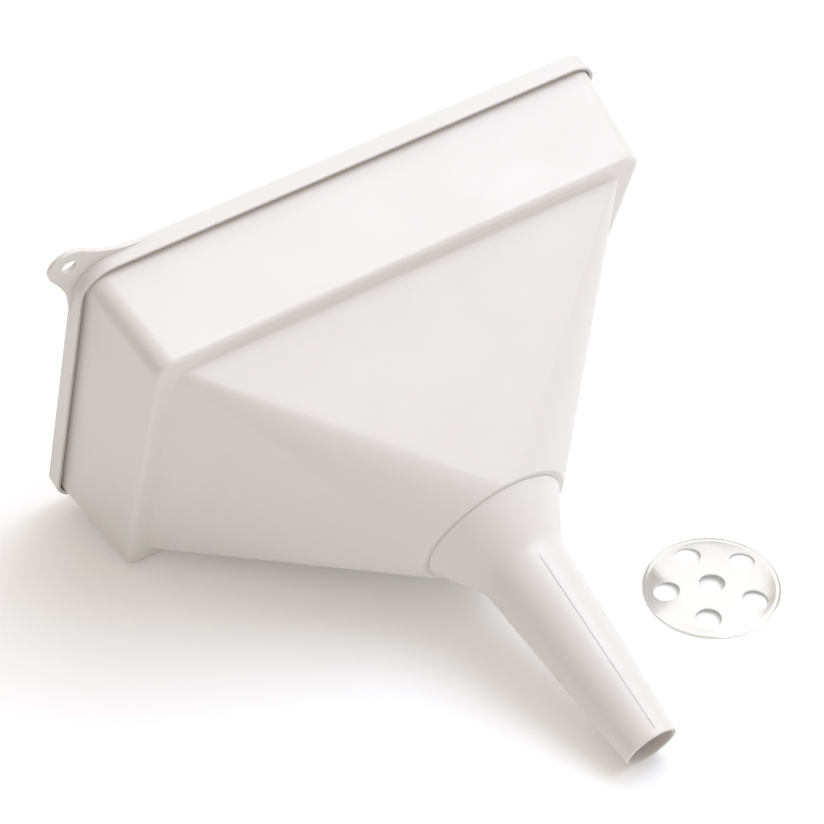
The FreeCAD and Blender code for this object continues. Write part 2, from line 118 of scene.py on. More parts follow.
def baked(obj: bpy.types.Object) -> bpy.types.Mesh:
    """Return the object's mesh as its modifiers leave it, as a plain mesh of its own."""
    graph = bpy.context.evaluated_depsgraph_get()
    return bpy.data.meshes.new_from_object(obj.evaluated_get(graph), depsgraph=graph)


def settle(obj: bpy.types.Object) -> None:
    """Swap the object's mesh for the result of its modifiers and remove them.

    Args:
        obj: The object with its modifiers.
    """
    result = baked(obj)
    obj.modifiers.clear()
    obj.data = result


def face_outwards(mesh: bpy.types.Mesh) -> None:
    """Turn every closed part of a mesh so that its faces point outwards.

    Args:
        mesh: The mesh to turn.
    """
    bm = bmesh.new()
    bm.from_mesh(mesh)
    bmesh.ops.recalc_face_normals(bm, faces=bm.faces)
    bm.to_mesh(mesh)
    bm.free()


def lofted(name: str, loops: Sequence[Loop], capped: bool) -> bpy.types.Mesh:
    """Skin a row of matched loops.

    Args:
        name: The mesh's name.
        loops: Closed loops with the same number of points, in order.
        capped: Fill the first and the last loop; otherwise the last is joined to the first.

    Returns:
        The closed mesh, with its faces outwards.
    """
    bm = bmesh.new()
    rows = [[bm.verts.new(p) for p in loop] for loop in loops]
    for row, above in zip(rows, rows[1:] if capped else rows[1:] + rows[:1]):
        for i in range(len(row)):
            j = (i + 1) % len(row)
            bm.faces.new((row[i], row[j], above[j], above[i]))
    if capped:
        bm.faces.new(rows[0][::-1])
        bm.faces.new(rows[-1])
    bmesh.ops.remove_doubles(bm, verts=bm.verts, dist=SAME_POINT)
    bmesh.ops.dissolve_degenerate(bm, dist=SAME_POINT, edges=bm.edges)
    bmesh.ops.recalc_face_normals(bm, faces=bm.faces)
    mesh = bpy.data.meshes.new(name)
    bm.to_mesh(mesh)
    bm.free()
    return mesh


def soften_shading(mesh: bpy.types.Mesh, sharp_angle: float = math.radians(40)) -> None:
    """Shade a mesh smooth, and keep every edge that folds by more than the angle crisp.

    Args:
        mesh: The mesh to shade.
        sharp_angle: Folds above this angle, in radians, stay crisp.
    """
    mesh.shade_smooth()
    mesh.set_sharp_from_angle(angle=sharp_angle)


# ------------------------------------------------------------------------------
# finishes


@dataclass(frozen=True)
class MouldedPolyethylene:
    """Natural white high-density polyethylene, injection moulded in a spark-eroded tool.

    The eye sees a waxy satin white: light goes a few millimetres in and comes back slightly warm, the gloss is
    broad, and the tool leaves a very fine even grain with faint flow waves on the large flat walls.
    """

    name: str = "hdpe_white_moulded"
    body_hex: str = "#e5e2df"
    flow_hex: str = "#e1ddd9"
    ior: float = 1.54
    roughness: tuple[float, float] = (0.36, 0.46)
    depth_mm: float = 3.0
    grain_mm: float = 0.5
    flow_mm: float = 55.0

    def make(self) -> bpy.types.Material:
        """Build the material.

        Returns:
            The finished material.
        """
        material = bpy.data.materials.new(self.name)
        material.use_nodes = True
        tree = material.node_tree
        tree.nodes.clear()
        place = add_node(tree, "ShaderNodeTexCoord").outputs["Object"]
        # melt flow: broad soft clouds, as wide as the melt front left them
        flow = add_node(tree, "ShaderNodeTexNoise", inputs={"Scale": 1 / (self.flow_mm * MM), "Detail": 3.0,
                        "Roughness": 0.55, "Distortion": 0.6}, links={"Vector": place}).outputs["Fac"]
        # sockets 0, 6 and 7 and output 2 are the colour mix's factor, A, B and result
        colour = add_node(tree, "ShaderNodeMix", {"data_type": "RGBA"},
                          {6: linear(self.body_hex), 7: linear(self.flow_hex)}, {0: flow}).outputs[2]
        # the tool's grain: real grain is about 0.1 mm, drawn at 0.5 mm so that it can show at all
        grain = add_node(tree, "ShaderNodeTexNoise", inputs={"Scale": 1 / (self.grain_mm * MM), "Detail": 2.0},
                         links={"Vector": place}).outputs["Fac"]
        low, high = self.roughness
        rough = add_node(tree, "ShaderNodeMapRange", inputs={"From Min": 0.3, "From Max": 0.7, "To Min": low,
                         "To Max": high}, links={"Value": flow}).outputs["Result"]
        waves = add_node(tree, "ShaderNodeBump", inputs={"Strength": 0.10, "Distance": 0.8 * MM},
                         links={"Height": flow}).outputs["Normal"]
        skin = add_node(tree, "ShaderNodeBump", inputs={"Strength": 0.08, "Distance": 0.05 * MM},
                        links={"Height": grain, "Normal": waves}).outputs["Normal"]
        shader = add_node(
            tree, "ShaderNodeBsdfPrincipled", {"subsurface_method": "RANDOM_WALK"},
            {"IOR": self.ior, "Subsurface Weight": 0.25, "Subsurface Scale": self.depth_mm * MM,
             "Subsurface Radius": (1.0, 0.85, 0.7)},
            {"Base Color": colour, "Roughness": rough, "Normal": skin})
        add_node(tree, "ShaderNodeOutputMaterial", links={"Surface": shader.outputs["BSDF"]})
        return material


@dataclass(frozen=True)
class PressedStainless:
    """Bright stainless sheet, pressed into a shallow dish and punched, then tumbled clean.

    The eye sees a nearly mirror-bright, slightly grey metal with soft-edged reflections, faint rolling lines
    from the mill that all run one way, and a little waviness where the press stretched the sheet.
    """

    name: str = "stainless_bright_pressed"
    metal_hex: str = "#d9d8d5"
    roughness: tuple[float, float] = (0.10, 0.20)
    line_mm: float = 0.7
    wave_mm: float = 16.0

    def make(self) -> bpy.types.Material:
        """Build the material.

        Returns:
            The finished material.
        """
        material = bpy.data.materials.new(self.name)
        material.use_nodes = True
        tree = material.node_tree
        tree.nodes.clear()
        place = add_node(tree, "ShaderNodeTexCoord").outputs["Object"]
        # mill lines: long and thin, a real pitch near 0.05 mm drawn at 0.7 mm so that they can show
        stretched = add_node(tree, "ShaderNodeMapping", {"vector_type": "TEXTURE"},
                             {"Rotation": (0.0, 0.0, math.radians(24)), "Scale": (40.0, 1.0, 1.0)},
                             {"Vector": place}).outputs["Vector"]
        lines = add_node(tree, "ShaderNodeTexNoise", inputs={"Scale": 1 / (self.line_mm * MM), "Detail": 3.0},
                         links={"Vector": stretched}).outputs["Fac"]
        wave = add_node(tree, "ShaderNodeTexNoise", inputs={"Scale": 1 / (self.wave_mm * MM), "Detail": 1.0},
                        links={"Vector": place}).outputs["Fac"]
        low, high = self.roughness
        rough = add_node(tree, "ShaderNodeMapRange", inputs={"From Min": 0.3, "From Max": 0.7, "To Min": low,
                         "To Max": high}, links={"Value": lines}).outputs["Result"]
        dents = add_node(tree, "ShaderNodeBump", inputs={"Strength": 0.35, "Distance": 0.5 * MM},
                         links={"Height": wave}).outputs["Normal"]
        skin = add_node(tree, "ShaderNodeBump", inputs={"Strength": 0.05, "Distance": 0.03 * MM},
                        links={"Height": lines, "Normal": dents}).outputs["Normal"]
        shader = add_node(tree, "ShaderNodeBsdfPrincipled",
                          inputs={"Base Color": linear(self.metal_hex), "Metallic": 1.0},
                          links={"Roughness": rough, "Normal": skin})
        add_node(tree, "ShaderNodeOutputMaterial", links={"Surface": shader.outputs["BSDF"]})
        return material


# ------------------------------------------------------------------------------
# the hopper's skin


def blend(start: Loop, stop: Loop, share: float) -> Loop:
    """Return the loop a share of the way from one loop to another."""
    return [p.lerp(q, share) for p, q in zip(start, stop)]


def drawn(here: Loop, other: Loop, distance: float) -> Loop:
    """Return a loop with every point moved a distance towards another loop, at most 45 % of the way."""
    return [p + (q - p) * min(distance / max((q - p).length, 1e-6), 0.45) for p, q in zip(here, other)]


@dataclass(frozen=True)
class Corner:
    """One corner of the wall's cross-section: the loop it runs along and the radius it is rounded with."""

    loop: Loop
    rounding: float = 0.0


@dataclass(frozen=True)
class HangingEye:
    """The nose round the hanging hole, blended into both sides of one corner of the rim."""

    out_length: float = 3.2
    out_width: float = 4.2
    nose: float = 11.2
    hole: float = 4.0
    blend: float = 60.0
    hole_round: float = 0.5
    hole_steps: int = 64

    def centre(self, half_length: float, half_width: float) -> Vector:
        """Middle of the hole for the rim's full outline."""
        return Vector((-half_length - self.out_length, -half_width - self.out_width, 0))

    def foot_on_side(self, half_length: float) -> float:
        """Where the blend leaves the long side, as an x."""
        reach = (self.blend + self.nose) ** 2 - (self.blend - self.out_width) ** 2
        return -half_length - self.out_length + math.sqrt(reach)

    def foot_on_end(self, half_width: float) -> float:
        """Where the blend leaves the short side, as a y."""
        reach = (self.blend + self.nose) ** 2 - (self.blend - self.out_length) ** 2
        return -half_width - self.out_width + math.sqrt(reach)

    def outline(self, half_length: float, half_width: float, inset: float, count: int) -> list[Vector]:
        """Points round the eye, from the short side to the long side.

        Args:
            half_length: Half of the rim's full length.
            half_width: Half of the rim's full width.
            inset: How far the outline is moved inwards.
            count: How many points to return.

        Returns:
            Evenly spaced points, the first on the short side and the last on the long side.
        """
        nose = self.centre(half_length, half_width)
        by_end = Vector((-half_length - self.blend, self.foot_on_end(half_width), 0))
        by_side = Vector((self.foot_on_side(half_length), -half_width - self.blend, 0))
        end_angle = math.atan2(by_end.y - nose.y, by_end.x - nose.x)
        side_angle = math.atan2(by_side.y - nose.y, by_side.x - nose.x) + 2 * math.pi
        blend, tip = self.blend + inset, self.nose - inset
        arcs = ((by_end, blend, 0.0, end_angle - math.pi), (nose, tip, end_angle, side_angle),
                (by_side, blend, side_angle - math.pi, math.pi / 2))
        lengths = [abs(stop - start) * radius for _, radius, start, stop in arcs]
        points = []
        for i in range(count):
            along = sum(lengths) * i / (count - 1)
            for (centre, radius, start, stop), length in zip(arcs, lengths):
                angle = start + (stop - start) * min(along / length, 1.0)
                point = centre + radius * Vector((math.cos(angle), math.sin(angle), 0))
                if along <= length:
                    break
                along -= length
            points.append(point)
        return points

    def punch(self, half_length: float, half_width: float, under: float, top: float) -> bpy.types.Mesh:
        """Make the tool that opens the hole: a round bar that flares where it leaves the plate.

        Args:
            half_length: Half of the rim's full length.
            half_width: Half of the rim's full width.
            under: Height of the plate's underside.
            top: Height of the plate's top.

        Returns:
            The punch's closed mesh, in millimetres.
        """
        soft, past = self.hole_round, 2.0
        arc = [math.pi / 2 * k / 5 for k in range(6)]
        rise = [(self.hole + soft * (1 - math.cos(a)), top - soft + soft * math.sin(a)) for a in arc]
        fall = [(self.hole + soft * (1 - math.cos(a)), under + soft - soft * math.sin(a)) for a in arc]
        profile = [(fall[-1][0], under - past)] + fall[::-1] + rise + [(rise[-1][0], top + past)]
        centre = self.centre(half_length, half_width)
        turns = [2 * math.pi * i / self.hole_steps for i in range(self.hole_steps)]
        loops = [[centre + Vector((radius * math.cos(a), radius * math.sin(a), z)) for a in turns]
                 for radius, z in profile]
        return lofted("eye_punch", loops, capped=True)


@dataclass
class Hopper:
    """The moulded hopper: hollow taper, ledge, deep collar, and rim with its lip and hanging eye.

    Sizes are in millimetres. Every loop of the skin has the same number of points, each matching its
    neighbour's, so that the skin is one grid. The roundings are named for the edge they soften.
    """

    mouth_length: float = 300.0
    mouth_width: float = 209.0
    mouth_corner: float = 18.0
    rim_height: float = 169.0
    rim_plate: float = 2.6
    lip_drop: float = 9.3
    lip_wall: float = 2.0
    edge_round: float = 1.0
    collar_top: tuple[float, float] = (293.5, 200.0)
    collar_foot: tuple[float, float] = (280.5, 193.0)
    collar_corner: float = 10.0
    collar_height: float = 105.0
    collar_round: float = 3.5
    taper: tuple[float, float, float] = (258.0, 170.0, 5.0)
    wall: float = 1.8
    lip_radius: float = 41.7
    lip_flat: float = 6.0
    socket_radius: float = 38.4
    socket_depth: float = 6.0
    wall_bow: float = 0.35
    socket_round: float = 0.3
    neck_round: float = 0.8
    ledge_round: float = 1.2
    lip_round: float = 0.6
    floor_round: float = 3.0
    shelf_round: float = 0.4
    guard: float = 0.4
    corner_steps: int = 30
    side_steps: int = 10
    eye_steps: int = 3
    round_steps: int = 5
    taper_rows: int = 9
    collar_rows: int = 5
    eye: HangingEye = field(default_factory=HangingEye)

    def side_shares(self) -> tuple[list[float], ...]:
        """Where the points lie along each side, so that two of them are the feet of the eye's blends.

        Returns:
            Shares from 0 to 1 along the near, right, far and left side, counter-clockwise.
        """
        half_l, half_w, r = self.mouth_length / 2, self.mouth_width / 2, self.mouth_corner
        near = (self.eye.foot_on_side(half_l) + half_l - r) / (2 * (half_l - r))
        left = 1 - (self.eye.foot_on_end(half_w) + half_w - r) / (2 * (half_w - r))
        steps, few = self.side_steps, self.eye_steps
        near_side = [near * i / few for i in range(few)]
        near_side += [near + (1 - near) * i / steps for i in range(steps)]
        left_side = [left * i / steps for i in range(steps)]
        left_side += [left + (1 - left) * i / few for i in range(few)]
        even = [i / steps for i in range(steps)]
        return near_side, even, even, left_side

    def rectangle(self, size: Sequence[float], corner: float, height: float, inset: float = 0.0) -> Loop:
        """Points round a rounded rectangle, counter-clockwise from the near side's left end.

        Args:
            size: The rectangle's length and width.
            corner: Its corner radius.
            height: Its height.
            inset: How far it is moved inwards.

        Returns:
            As many points as every other loop has, each matching its neighbour's.
        """
        hl, hw, r = size[0] / 2 - inset, size[1] / 2 - inset, corner - inset
        sides = (((-hl + r, -hw), (hl - r, -hw)), ((hl, -hw + r), (hl, hw - r)),
                 ((hl - r, hw), (-hl + r, hw)), ((-hl, hw - r), (-hl, -hw + r)))
        centres = ((hl - r, -hw + r), (hl - r, hw - r), (-hl + r, hw - r), (-hl + r, -hw + r))
        loop: Loop = []
        for turn, ((start, stop), shares, (x, y)) in enumerate(zip(sides, self.side_shares(), centres)):
            loop += [Vector((*start, height)).lerp(Vector((*stop, height)), share) for share in shares]
            for i in range(self.corner_steps):
                angle = math.pi / 2 * (turn - 1 + i / self.corner_steps)
                loop.append(Vector((x + r * math.cos(angle), y + r * math.sin(angle), height)))
        return loop

    def ring(self, radius: float, height: float) -> Loop:
        """Points round a circle, matched to a small square with well rounded corners."""
        square = self.rectangle((2 * radius, 2 * radius), radius - self.lip_flat / 2, 0.0)
        return [p.normalized() * radius + Vector((0, 0, height)) for p in square]

    def rim(self, inset: float, height: float, eye: bool = True) -> Loop:
        """Points round the rim.

        Args:
            inset: How far they are moved inwards.
            height: Their height.
            eye: Whether they follow the hanging eye.

        Returns:
            As many points as every other loop has.
        """
        loop = self.rectangle((self.mouth_length, self.mouth_width), self.mouth_corner, height, inset)
        if eye:
            before, after = self.eye_steps + self.corner_steps, self.eye_steps
            nose = self.eye.outline(self.mouth_length / 2, self.mouth_width / 2, inset, before + after + 1)
            for i, point in enumerate(nose):
                loop[i - before] = point + Vector((0, 0, height))
        return loop

    def wall_between(self, low: Loop, high: Loop, steps: int) -> list[Corner]:
        """Loops between two others, whose flat walls draw in slightly halfway as moulded walls do.

        Args:
            low: The loop at the start.
            high: The loop at the end.
            steps: How many loops lie between the two.

        Returns:
            The loops in between, with no rounding.
        """
        bows: Loop = []
        inward = ((0, 1, 0), (-1, 0, 0), (0, -1, 0), (1, 0, 0))
        for shares, way in zip(self.side_shares(), inward):
            bows += [Vector(way) * self.wall_bow * math.sin(math.pi * share) for share in shares]
            bows += [Vector()] * self.corner_steps
        corners = []
        for k in range(1, steps + 1):
            share = k / (steps + 1)
            depth = math.sin(math.pi * share)
            corners.append(Corner([p + bow * depth for p, bow in zip(blend(low, high, share), bows)]))
        return corners

    def corners(self) -> list[Corner]:
        """List the corners of the wall's cross-section, from the neck up the outside and down the inside.

        Returns:
            Every corner, in order; the last joins the first.
        """
        wall, top = self.wall, self.rim_height
        under, lip = top - self.rim_plate, top - self.lip_drop
        floor = self.collar_height + wall
        share = (under - self.collar_height) / (top - self.collar_height)
        foot = self.rectangle(self.collar_foot, self.collar_corner, self.collar_height)
        collar_under = blend(foot, self.rectangle(self.collar_top, self.collar_corner, top), share)
        taper_top = self.rectangle(self.taper[:2], self.taper[2], self.collar_height)
        inner_top = self.rectangle(self.collar_top, self.collar_corner, top, wall)
        inner_foot = self.rectangle(self.collar_foot, self.collar_corner, floor, wall)
        inner_taper = self.rectangle(self.taper[:2], self.taper[2], floor, wall)
        neck, inner_neck = self.ring(self.lip_radius, 0.0), self.ring(self.lip_radius, self.socket_depth)
        return [
            Corner(self.ring(self.socket_radius, 0.0), self.socket_round),
            Corner(neck, self.neck_round),
            *self.wall_between(neck, taper_top, self.taper_rows),
            Corner(taper_top, self.ledge_round),
            Corner(foot, self.collar_round),
            *self.wall_between(foot, collar_under, self.collar_rows),
            Corner(collar_under, self.neck_round),
            Corner(self.rim(self.lip_wall, under, eye=False), self.lip_round),
            Corner(self.rim(self.lip_wall, lip, eye=False), self.lip_round),
            Corner(self.rim(0.0, lip, eye=False), self.edge_round),
            Corner(self.rim(0.0, under, eye=False)),
            Corner(self.rim(0.0, under)),
            Corner(self.rim(0.0, top), self.edge_round),
            Corner(inner_top, self.ledge_round),
            *self.wall_between(inner_top, inner_foot, self.collar_rows),
            Corner(inner_foot, self.floor_round),
            Corner(inner_taper, self.ledge_round),
            *self.wall_between(inner_taper, inner_neck, self.taper_rows),
            Corner(inner_neck, self.shelf_round),
        ]

    def loops(self) -> list[Loop]:
        """Round the corners of the cross-section, with a guard loop on each side of every rounding.

        Returns:
            Every loop of the skin, in order.
        """
        corners = self.corners()
        result: list[Loop] = []
        for i, corner in enumerate(corners):
            here, before, after = corner.loop, corners[i - 1].loop, corners[(i + 1) % len(corners)].loop
            if not corner.rounding:
                result.append(here)
                continue
            start, stop = drawn(here, before, corner.rounding), drawn(here, after, corner.rounding)
            result.append(drawn(start, before, self.guard))
            for k in range(self.round_steps + 1):
                t = k / self.round_steps
                result.append(blend(blend(start, here, t), blend(here, stop, t), t))
            result.append(drawn(stop, after, self.guard))
        return result

    def build(self, pose: Matrix, finish: bpy.types.Material) -> bpy.types.Object:
        """Build the hopper where it lies and dress it.

        Args:
            pose: Takes the upright funnel in millimetres to its place in the row.
            finish: The plastic.

        Returns:
            The finished piece.
        """
        obj = mesh_object("hopper_body", lofted("hopper_skin", self.loops(), capped=False))
        top = self.rim_height
        punch = mesh_object("eye_punch", self.eye.punch(self.mouth_length / 2, self.mouth_width / 2,
                                                        top - self.rim_plate, top))
        cut = obj.modifiers.new("eye", "BOOLEAN")
        cut.operation, cut.solver, cut.object = "DIFFERENCE", "EXACT", punch
        settle(obj)
        bpy.data.objects.remove(punch)
        obj.data.transform(pose)
        obj.data.materials.clear()
        obj.data.materials.append(finish)
        soften_shading(obj.data)
        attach(obj, "funnel")
        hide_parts("hopper")
        return obj


# ------------------------------------------------------------------------------
# Geometry Nodes: a lathe, a seam that follows the tube and a punch for ring holes


class Size(Enum):
    """Kinds of named input a tree can have."""

    LENGTH = "NodeSocketFloat"
    COUNT = "NodeSocketInt"
    FINISH = "NodeSocketMaterial"


@dataclass
class GeometryTree:
    """A Geometry Nodes tree with named inputs, run once on an object and baked to a plain mesh."""

    name: str
    sizes: dict[str, Size]
    tree: bpy.types.NodeTree = field(init=False)
    source: bpy.types.Node = field(init=False)

    def __post_init__(self) -> None:
        """Open the tree and declare its inputs and output."""
        self.tree = bpy.data.node_groups.new(self.name, "GeometryNodeTree")
        face = self.tree.interface
        face.new_socket("Geometry", in_out="INPUT", socket_type="NodeSocketGeometry")
        for name, kind in self.sizes.items():
            face.new_socket(name, in_out="INPUT", socket_type=kind.value)
        face.new_socket("Geometry", in_out="OUTPUT", socket_type="NodeSocketGeometry")
        self.source = self.tree.nodes.new("NodeGroupInput")

    def given(self, name: str) -> bpy.types.NodeSocket:
        """The output that carries one of the tree's inputs."""
        return self.source.outputs[name]

    def node(self, kind: str, settings: dict | None = None, inputs: dict | None = None,
             links: dict | None = None) -> bpy.types.Node:
        """Add a node to this tree."""
        return add_node(self.tree, kind, settings, inputs, links)

    def maths(self, operation: str, *terms: object) -> bpy.types.NodeSocket:
        """Add one arithmetic step on sockets or numbers.

        Args:
            operation: The Math node's operation.
            terms: Two or three sockets or numbers.

        Returns:
            The socket with the result.
        """
        links = {i: t for i, t in enumerate(terms) if isinstance(t, bpy.types.NodeSocket)}
        inputs = {i: t for i, t in enumerate(terms) if i not in links}
        return self.node("ShaderNodeMath", {"operation": operation}, inputs, links).outputs[0]

    def close(self, geometry: bpy.types.NodeSocket) -> None:
        """End the tree: make instances real and give everything the finish.

        Args:
            geometry: What the tree has made.
        """
        real = self.node("GeometryNodeRealizeInstances", links={"Geometry": geometry})
        dressed = self.node("GeometryNodeSetMaterial", links={"Geometry": real.outputs["Geometry"],
                                                              "Material": self.given("Finish")})
        self.node("NodeGroupOutput", links={0: dressed.outputs["Geometry"]})

    def run(self, obj: bpy.types.Object, values: dict[str, object]) -> None:
        """Run the tree on an object and keep the result as its plain mesh.

        Args:
            obj: The object whose geometry goes in.
            values: A value for each of the tree's inputs, by name.
        """
        modifier = obj.modifiers.new(self.name, "NODES")
        modifier.node_group = self.tree
        for item in self.tree.interface.items_tree:
            if item.item_type == "SOCKET" and item.in_out == "INPUT" and item.name in values:
                modifier[item.identifier] = values[item.name]
        settle(obj)


def turned(tree: GeometryTree, profile: bpy.types.NodeSocket) -> bpy.types.NodeSocket:
    """Turn a closed profile in the XZ plane round Z, as a lathe does.

    A grid holds one column for each point of the profile and one row for each step of the turn; every grid
    point is moved to its place, and the points that meet are merged.

    Args:
        tree: The tree that gets the nodes. It has an input named Steps.
        profile: A closed mesh outline whose vertices are in order.

    Returns:
        The closed turned mesh.
    """
    count = tree.node("GeometryNodeAttributeDomainSize", links={"Geometry": profile}).outputs["Point Count"]
    rows = tree.maths("ADD", tree.given("Steps"), 1.0)
    columns = tree.maths("ADD", count, 1.0)
    grid = tree.node("GeometryNodeMeshGrid", links={"Vertices X": columns, "Vertices Y": rows}).outputs["Mesh"]
    index = tree.node("GeometryNodeInputIndex").outputs[0]
    column = tree.maths("FLOOR", tree.maths("DIVIDE", tree.maths("ADD", index, 0.5), rows))
    row = tree.maths("SUBTRACT", index, tree.maths("MULTIPLY", column, rows))
    point = tree.maths("MODULO", column, count)
    angle = tree.maths("MULTIPLY", tree.maths("DIVIDE", row, tree.given("Steps")), 2 * math.pi)
    where = tree.node("GeometryNodeInputPosition").outputs[0]
    taken = tree.node("GeometryNodeSampleIndex", {"data_type": "FLOAT_VECTOR", "domain": "POINT"},
                      links={"Geometry": profile, "Value": where, "Index": point}).outputs["Value"]
    parts = tree.node("ShaderNodeSeparateXYZ", links={0: taken})
    x = tree.maths("MULTIPLY", parts.outputs["X"], tree.maths("COSINE", angle))
    y = tree.maths("MULTIPLY", parts.outputs["X"], tree.maths("SINE", angle))
    place = tree.node("ShaderNodeCombineXYZ", links={"X": x, "Y": y, "Z": parts.outputs["Z"]}).outputs[0]
    moved = tree.node("GeometryNodeSetPosition", links={"Geometry": grid, "Position": place})
    merged = tree.node("GeometryNodeMergeByDistance", inputs={"Distance": 1e-3},
                       links={"Geometry": moved.outputs["Geometry"]})
    return merged.outputs["Geometry"]


def outline_mesh(name: str, points: Sequence[tuple[float, float]]) -> bpy.types.Mesh:
    """Make a closed outline of edges in the XZ plane.

    Args:
        name: The mesh's name.
        points: Radius and height of each point, in order.

    Returns:
        The outline as a mesh with no faces.
    """
    mesh = bpy.data.meshes.new(name)
    edges = [(i, (i + 1) % len(points)) for i in range(len(points))]
    mesh.from_pydata([(r, 0.0, z) for r, z in points], edges, [])
    return mesh


def rounded_profile(corners: Sequence[tuple[float, float, float]], guard: float = 0.4,
                    steps: int = 6) -> list[tuple[float, float]]:
    """Round the corners of a closed profile.

    Args:
        corners: Radius, height and rounding of each corner, in order.
        guard: Distance of an extra point before and after each rounding, which keeps the walls' shading flat.
        steps: Straight pieces in each rounding.

    Returns:
        Radius and height of each point of the rounded profile.
    """
    points: list[tuple[float, float]] = []
    for i, (r, z, radius) in enumerate(corners):
        here = Vector((r, z))
        before, after = Vector(corners[i - 1][:2]), Vector(corners[(i + 1) % len(corners)][:2])
        u, v = (before - here), (after - here)
        half = u.angle(v) / 2
        trim = min(radius / math.tan(half), u.length * 0.48, v.length * 0.48)
        radius = trim * math.tan(half)
        u.normalize()
        v.normalize()
        centre = here + (u + v).normalized() * (radius / math.sin(half))
        points.append(tuple(here + u * (trim + guard)))
        start, stop = here + u * trim - centre, here + v * trim - centre
        sweep = start.angle(stop)
        for k in range(steps + 1):
            t = k / steps
            arm = (start * math.sin((1 - t) * sweep) + stop * math.sin(t * sweep)) / math.sin(sweep)
            points.append(tuple(centre + arm))
        points.append(tuple(here + v * (trim + guard)))
    return points


